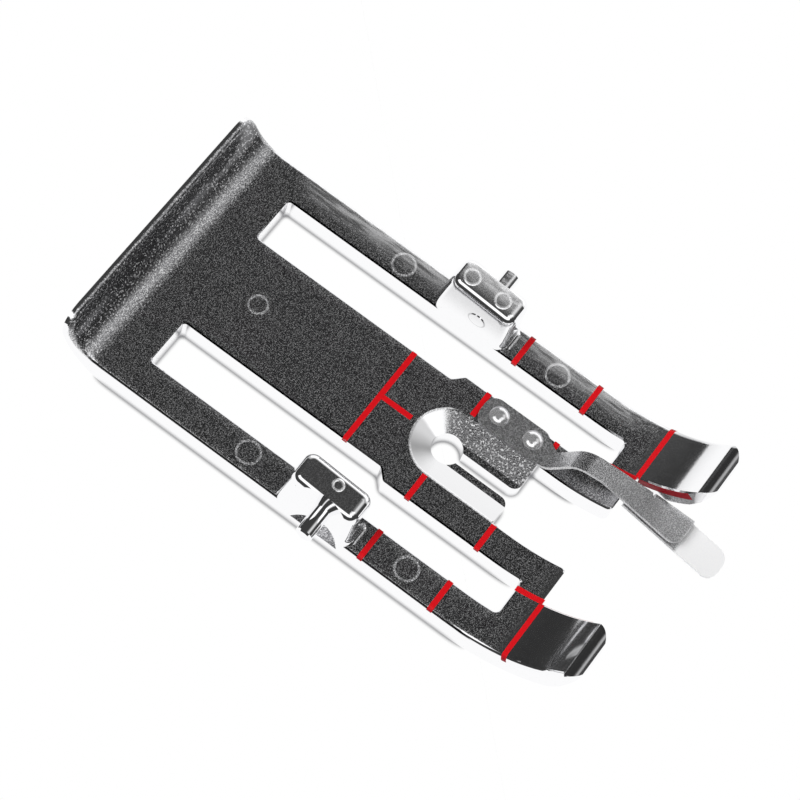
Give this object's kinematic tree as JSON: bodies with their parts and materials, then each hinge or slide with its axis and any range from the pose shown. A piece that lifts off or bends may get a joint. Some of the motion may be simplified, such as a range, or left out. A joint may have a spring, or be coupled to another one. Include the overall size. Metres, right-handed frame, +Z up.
{
  "type": "sewing machine presser foot",
  "caption": "Clip-on sewing machine presser foot: slotted plate with raised rear lip, up-curved toes, dished needle hole and a riveted edge guide for narrow seams.",
  "frame": {"origin": "axis of the needle hole at the sole plane", "axes": "+X to the operator's right, +Y away from the operator towards the rear lip, +Z up out of the top face"},
  "size_m": [0.027, 0.0493, 0.0076],
  "materials": {
    "plated_casting": "bright plating over a die casting, top faces lightly blasted, red paint lines",
    "guide_strip": "satin spring sheet with bright cut edges",
    "rivet_metal": "polished dome"
  },
  "bodies": {
    "root": {"foot_body": "plated_casting", "edge_guide": "guide_strip", "guide_rivets": "rivet_metal"}
  },
  "joints": []
}
